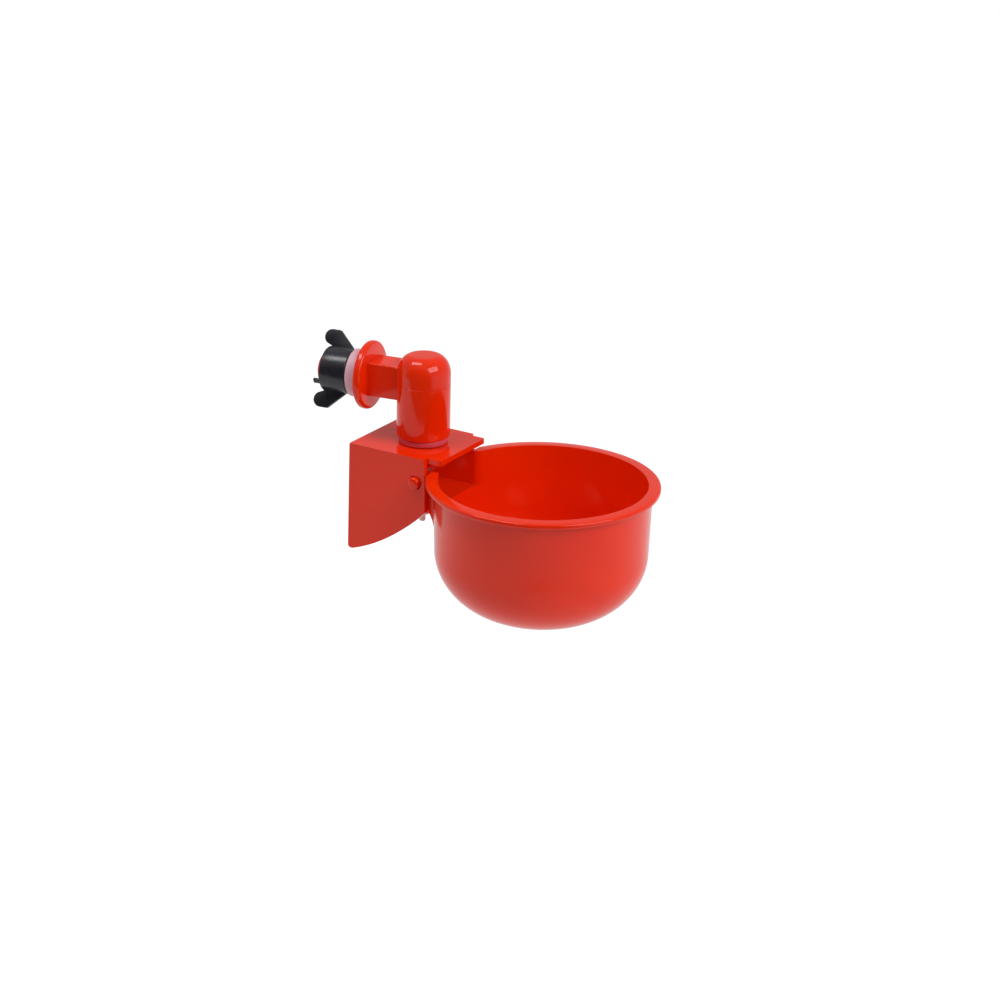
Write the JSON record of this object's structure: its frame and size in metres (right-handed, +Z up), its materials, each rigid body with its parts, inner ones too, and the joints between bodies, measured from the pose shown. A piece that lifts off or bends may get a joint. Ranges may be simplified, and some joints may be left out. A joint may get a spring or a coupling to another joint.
{
  "type": "poultry drinking cup",
  "caption": "Wall-mounted automatic drinking cup: a round cup pivots in a bracket and works a stem valve fed through an elbow with a threaded spigot, gasket and wing nut.",
  "frame": {"origin": "on the spigot axis, in the plane of the flange face that meets the wall", "axes": "+Z up, +Y through the wall along the spigot, the cup hangs towards -Y"},
  "size_m": [0.09, 0.1434, 0.0976],
  "materials": {
    "red_plastic": "glossy injection-moulded polypropylene",
    "black_plastic": "semi-gloss moulded nylon",
    "clear_silicone": "soft translucent silicone",
    "dark_rubber": "soft black rubber",
    "white_plastic": "satin acetal",
    "spring_steel": "drawn stainless wire"
  },
  "bodies": {
    "root": {"elbow_housing": "red_plastic", "seat_seal_ring": "dark_rubber", "valve_seat": "white_plastic", "stem_guide": "white_plastic", "base_washer": "clear_silicone", "bracket_nut": "red_plastic", "valve_spring": "spring_steel"},
    "hanger": {"bracket": "red_plastic"},
    "cup": {"cup": "red_plastic"},
    "stem": {"valve_stem": "white_plastic", "valve_pad": "dark_rubber"},
    "level_nut": {"adjusting_nut": "white_plastic"},
    "gasket": {"wall_gasket": "clear_silicone"},
    "wing_nut": {"wing_nut": "black_plastic"}
  },
  "joints": [
    {"name": "bracket_swivel", "type": "hinge", "parent": "root", "child": "hanger", "pos_m": [0, -0.0246, -0.0239], "axis": [0, 0, 1], "range_deg": [0, 17.5]},
    {"name": "cup_tilt", "type": "hinge", "parent": "hanger", "child": "cup", "pos_m": [-0.00121, -0.03241, -0.0341], "axis": [0.9882, -0.153, 0], "range_deg": [0, 7], "stiffness_Nm_per_rad": 0.06, "springref_deg": -20.05},
    {"name": "stem_lift", "type": "slide", "parent": "root", "child": "stem", "axis": [0, 0, 1], "range_m": [0, 0.001], "deforming": ["valve_spring"]},
    {"name": "level_turn", "type": "hinge", "parent": "stem", "child": "level_nut", "pos_m": [0, -0.0246, -0.0464], "axis": [0, 0, 1], "range_deg": [-180, 180]},
    {"name": "clamp_slide", "type": "slide", "parent": "root", "child": "gasket", "axis": [0, 1, 0], "range_m": [0, 0.008]},
    {"name": "nut_turn", "type": "hinge", "parent": "gasket", "child": "wing_nut", "pos_m": [0, 0.011, 0], "axis": [0, 1, 0], "range_deg": [0, 1440]}
  ],
  "couplings": [
    {"joint": "stem_lift", "follows": "cup_tilt", "m_per_rad": 0.0079},
    {"joint": "nut_turn", "follows": "clamp_slide", "rad_per_m": 3141.6}
  ]
}
